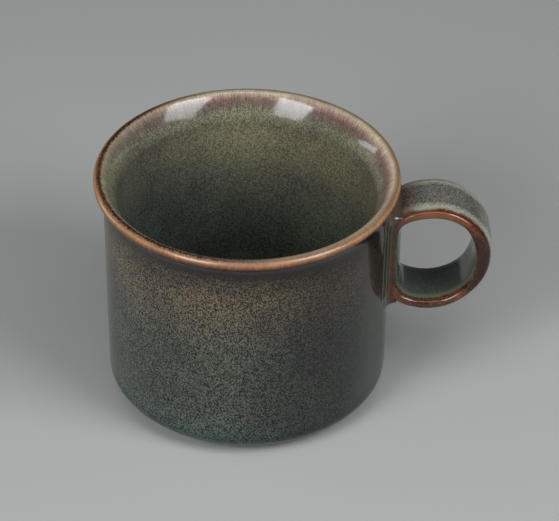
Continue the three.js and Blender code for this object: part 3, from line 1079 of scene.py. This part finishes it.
RING_NOISE = (5 * MM, 3.0, 0.6)
FINE_NOISE = (0.6 * MM, 2.0, 0.7)
PATCH_NOISE = (2.4 * MM, 3.0, 0.65)

# How far each thing shifts the brown's border across the band, in mm
BORDER_STRAY = 1.6
INNER_SHIFT = 0.9
UNDERNEATH_SHIFT = 1.1
BEYOND_SHIFT = 0.5

# Where a share is 0 and 1: by height over the waist, by how far the section looks outward, and
# by distance in mm
UNDERNEATH = (-6 * MM, -13 * MM)
PAINTED_LIGHT_HEIGHT = (0.0, 16 * MM)
PATCHED_HEIGHT = (12 * MM, 2 * MM)
BEYOND_MIDDLE = (0.0, 4 * MM)
LOOKS_INWARD = (0.4, -0.5)
IS_OUTER_FACE = (-0.3, 0.3)
DARKER_FACE = (-1.0, 0.4)
FLUSHED_FACE = (-0.2, 0.4)
SPECKLED_FACE = (-2.6, 0.6)
BROWN_BORDER = (2.3, 1.5)
DARKER_EDGE = (0.9, 1.8)
NEAR_WALL = (8.0, 1.0)
SPECKLE_BORDER = (2.4, 5.0)

# Shares of the brown's painted light and patches and of the flush by the wall
PAINTED_LIGHT_UNDERNEATH = 0.55
LIT_STRAY = 1.6
LIT_FADE = (0.1, 1.1)
EDGE_STRAY = 1.2
PATCH_FADE = (0.50, 0.66)
PATCH_SHARE = 0.45
FLUSH_STRAY = 8.0
FLUSH_FADE = (-0.14, 0.14)
FLUSH_SHARE = 0.85

RING_ROUGHNESS = 0.12
BROWN_ROUGHNESS = 0.02


def burnt_brown(tree, centred, heights, from_side, outward, wander, fine):
    """Iron brown of the band's edges: lighter above and underneath as painted light, darker towards
    the faces, and patchy low down."""
    raised, underneath = heights
    # Painted light: the brown is lighter above the waist and underneath
    painted_light_and_mottle = plus(
        tree, fade(tree, raised, *PAINTED_LIGHT_HEIGHT), wander,
        times(tree, underneath, PAINTED_LIGHT_UNDERNEATH), times(tree, fine, LIT_STRAY),
    )
    burnt = mix(tree, fade(tree, painted_light_and_mottle, *LIT_FADE), BURNT_IN_PAINTED_SHADE, BURNT_IN_PAINTED_LIGHT)
    inward_edge = plus(tree, from_side, times(tree, fine, EDGE_STRAY))
    darker = times(
        tree, fade(tree, inward_edge, *DARKER_EDGE), fade(tree, outward, *DARKER_FACE),
    )
    burnt = tinted(tree, darker, burnt, BURNT_TINT)
    patches = times(
        tree, fade(tree, noise(tree, centred, *PATCH_NOISE), *PATCH_FADE),
        fade(tree, raised, *PATCHED_HEIGHT), PATCH_SHARE,
    )
    return mix(tree, patches, burnt, BURNT_PATCH)


def ring_glaze():
    """Glaze of the ring handle: burnt brown round its edges, flushed tan by the wall, and speckled
    on its broad faces."""
    made, tree = start_material("ring_glaze")
    centred, _ = cup_place(tree)
    from_side = attribute(tree, "from_side")
    outward = attribute(tree, "outward")
    axes = add(tree, "ShaderNodeSeparateXYZ", Vector=centred).outputs
    raised = minus(tree, axes["Z"], RING_WAIST)
    underneath = fade(tree, raised, *UNDERNEATH)
    wander = sway(tree, centred, *RING_NOISE)
    fine = sway(tree, centred, *FINE_NOISE)

    inner_shift = minus(tree, INNER_SHIFT, times(tree, underneath, UNDERNEATH_SHIFT))
    shifted = plus(
        tree, from_side, times(tree, wander, BORDER_STRAY), times(tree, fine, BORDER_STRAY),
        times(tree, fade(tree, outward, *LOOKS_INWARD), inner_shift),
        times(tree, fade(tree, axes["Y"], *BEYOND_MIDDLE), BEYOND_SHIFT),
    )
    faces = mix(
        tree, fade(tree, outward, *IS_OUTER_FACE),
        band_colours(tree, shifted, INNER_BAND), band_colours(tree, shifted, OUTER_BAND),
    )
    burnt = burnt_brown(tree, centred, (raised, underneath), from_side, outward, wander, fine)
    on_side = fade(tree, shifted, *BROWN_BORDER)
    ground = mix(tree, on_side, faces, burnt)

    near_wall = plus(tree, attribute(tree, "from_wall"), times(tree, wander, FLUSH_STRAY))
    flush_share = times(
        tree, fade(tree, near_wall, *NEAR_WALL), fade(tree, outward, *FLUSHED_FACE), FLUSH_SHARE,
    )
    flush = mix(tree, fade(tree, wander, *FLUSH_FADE), *FLUSH_COLOURS)
    ground = mix(tree, flush_share, ground, flush)

    amount = times(
        tree, fade(tree, from_side, *SPECKLE_BORDER), fade(tree, outward, *SPECKLED_FACE),
    )
    speckled = place(
        tree, GROUPS["speckle"], Vector=centred, Ground=ground, Amount=amount, Cloud=RING_CLOUD,
        Dark=RING_DARK, Light=RING_LIGHT, Tint=RING_TINT,
    )
    roughness = plus(tree, RING_ROUGHNESS, times(tree, on_side, BROWN_ROUGHNESS))
    finish_glaze(tree, centred, speckled["Color"], roughness, speckled["Flecks"])
    return made


# Glaze of the luting slip. Each pair of colours goes with the fade between them

SLIP_RUNS = (0.45 * MM, 60 * MM)
RUN_FADE = (0.42, 0.72)
RUN_COLOURS = (shade(44, 47, 40), shade(104, 107, 93))
MOTTLE_NOISE = (1.3 * MM, 3.0, 0.7)
MOTTLE_STRAY = 1.6
BURNT_FADE = (0.38, 0.66)
BURNT_COLOURS = (shade(80, 42, 28), shade(46, 36, 28))
BURNT_LINE = (0.95, 0.45)
TOP_FADE = (0.36, 0.64)
TOP_COLOURS = (shade(98, 66, 52), shade(64, 68, 60))
TOP_HEIGHT = (57 * MM, 62 * MM)
SLIP_ROUGHNESS = 0.10


def slip_glaze():
    """Glaze pooled smooth and dark over the luting slip, with paler runs down its sides, a burnt
    line along the band and a reddish mottle at its top."""
    made, tree = start_material("slip_glaze")
    centred, outward = cup_place(tree)
    streaks = runs(tree, outward, attribute(tree, "over_wall"), *SLIP_RUNS)
    pooled = mix(tree, fade(tree, streaks, *RUN_FADE), *RUN_COLOURS)
    mottle = noise(tree, centred, *MOTTLE_NOISE)
    burnt = mix(tree, fade(tree, mottle, *BURNT_FADE), *BURNT_COLOURS)
    ragged = plus(
        tree, attribute(tree, "from_joint"), times(tree, minus(tree, mottle, 0.5), MOTTLE_STRAY),
    )
    pooled = mix(tree, fade(tree, ragged, *BURNT_LINE), pooled, burnt)
    reddish = mix(tree, fade(tree, mottle, *TOP_FADE), *TOP_COLOURS)
    height = add(tree, "ShaderNodeSeparateXYZ", Vector=centred).outputs["Z"]
    colour = mix(tree, fade(tree, height, *TOP_HEIGHT), pooled, reddish)
    finish_glaze(tree, centred, colour, SLIP_ROUGHNESS, 0.0)
    return made


# Pieces

def dress(piece, node, material):
    """The piece takes a CAD node's place and finish."""
    piece.data.materials.append(material)
    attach(piece, "root")
    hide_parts(node)


dress(make_cup(), "cup_body", cup_glaze())
dress(make_ring(), "ring_handle", ring_glaze())
dress(make_slip(), "handle_slip", slip_glaze())


# Floor, light and camera

FLOOR_HALF = 3.0
FLOOR_GREY = shade(166, 165, 162)
FLOOR_ROUGHNESS = 0.9
WORLD_GREY = shade(150, 150, 152)
WORLD_STRENGTH = 0.2

LIGHT_DISTANCE = 0.9
LAMP_TINT = (0.93, 0.985, 1.0, 1.0)
SOFTBOXES = {
    # name: compass angle, elevation, roll, width and height as angles, radiance at bottom and top
    "left_softbox": (-127, 29, 20, 24, 33, 5.5, 13.5),
    "right_softbox": (-34, 36, 10, 26, 34, 5.0, 11.5),
    "top_softbox": (-85, 68, 0, 40, 26, 2.2, 2.2),
    "rear_softbox": (160, 7, 0, 20, 12, 5.0, 5.0),
}

CAMERA_TILT = math.radians(36.756)
CAMERA_ROLL = math.radians(0.532)
CAMERA_DISTANCE = 0.850
IMAGE_WIDTH = 559
IMAGE_HEIGHT = 521
PIXELS_PER_METRE = 3632.0
RIM_CENTRE_PIXEL = (247.288, 171.928)
SENSOR_WIDTH = 36.0
CLIP_START = 0.05
CLIP_END = 20.0


def make_floor():
    """A flat pale square under the cup."""
    corners = np.array([[-1, -1], [1, -1], [1, 1], [-1, 1]]) * FLOOR_HALF
    points = np.column_stack([corners, np.zeros(4)])
    floor = make_piece("floor", points, [(0, 1, 2, 3)], {})
    made, tree = start_material("floor_paint")
    shader = add(
        tree, "ShaderNodeBsdfPrincipled", Base_Color=FLOOR_GREY, Roughness=FLOOR_ROUGHNESS,
    )
    add(tree, "ShaderNodeOutputMaterial", Surface=shader.outputs["BSDF"])
    floor.data.materials.append(made)


def direction(compass, elevation):
    """Unit vector at a compass angle from +X and an elevation, both in degrees."""
    turn, lift = math.radians(compass), math.radians(elevation)
    level_part = math.cos(lift)
    return Vector((level_part * math.cos(turn), level_part * math.sin(turn), math.sin(lift)))


def make_softbox(name, compass, elevation, roll, width, height, low, high):
    """A rectangular area light that faces the cup, sized by the angles that it fills seen from
    there, whose radiance changes evenly from its bottom to its top."""
    light = bpy.data.lights.new(name, "AREA")
    light.shape = "RECTANGLE"
    light.size = 2 * LIGHT_DISTANCE * math.tan(math.radians(width / 2))
    light.size_y = 2 * LIGHT_DISTANCE * math.tan(math.radians(height / 2))
    light.energy = math.pi * light.size * light.size_y
    light.use_nodes = True
    tree = light.node_tree
    across = add(tree, "ShaderNodeNewGeometry").outputs["Parametric"]
    rise = add(tree, "ShaderNodeSeparateXYZ", Vector=across).outputs["Y"]
    ramp = add(tree, "ShaderNodeMapRange", Value=rise, To_Min=low, To_Max=high)
    tree.links.new(ramp.outputs["Result"], tree.nodes["Emission"].inputs["Strength"])
    tree.nodes["Emission"].inputs["Color"].default_value = LAMP_TINT
    softbox = bpy.data.objects.new(name, light)
    out = direction(compass, elevation)
    middle = Vector((AXIS_X, 0.0, CUP_HEIGHT / 2))
    turned = out.to_track_quat("Z", "Y").to_matrix() @ Matrix.Rotation(math.radians(roll), 3, "Z")
    softbox.matrix_world = Matrix.Translation(middle + LIGHT_DISTANCE * out) @ turned.to_4x4()
    bpy.context.scene.collection.objects.link(softbox)
    softbox.visible_camera = False


def make_world():
    world = bpy.data.worlds.new("studio")
    world.use_nodes = True
    background = world.node_tree.nodes["Background"]
    background.inputs["Color"].default_value = WORLD_GREY
    background.inputs["Strength"].default_value = WORLD_STRENGTH
    bpy.context.scene.world = world


def make_camera():
    """Camera over the front of the cup: the middle of the rim lies at a known pixel and depth."""
    forward = Vector((0.0, math.cos(CAMERA_TILT), -math.sin(CAMERA_TILT)))
    sideways = Vector((1.0, 0.0, 0.0))
    upward = sideways.cross(forward)
    right = math.cos(CAMERA_ROLL) * sideways + math.sin(CAMERA_ROLL) * upward
    up = math.cos(CAMERA_ROLL) * upward - math.sin(CAMERA_ROLL) * sideways
    aside = (RIM_CENTRE_PIXEL[0] - IMAGE_WIDTH / 2) / PIXELS_PER_METRE
    above = (IMAGE_HEIGHT / 2 - RIM_CENTRE_PIXEL[1]) / PIXELS_PER_METRE
    rim_centre = Vector((AXIS_X, 0.0, CUP_HEIGHT))
    stand = rim_centre - aside * right - above * up - CAMERA_DISTANCE * forward
    data = bpy.data.cameras.new("camera")
    data.sensor_fit = "HORIZONTAL"
    data.sensor_width = SENSOR_WIDTH
    data.lens = PIXELS_PER_METRE * CAMERA_DISTANCE / IMAGE_WIDTH * SENSOR_WIDTH
    data.clip_start = CLIP_START
    data.clip_end = CLIP_END
    camera = bpy.data.objects.new("camera", data)
    axes = Matrix((right, up, -forward)).transposed()
    camera.matrix_world = Matrix.Translation(stand) @ axes.to_4x4()
    bpy.context.scene.collection.objects.link(camera)
    bpy.context.scene.camera = camera


make_floor()
for light_name, light_values in SOFTBOXES.items():
    make_softbox(light_name, *light_values)
make_world()
make_camera()
bpy.context.scene.view_settings.view_transform = "Standard"
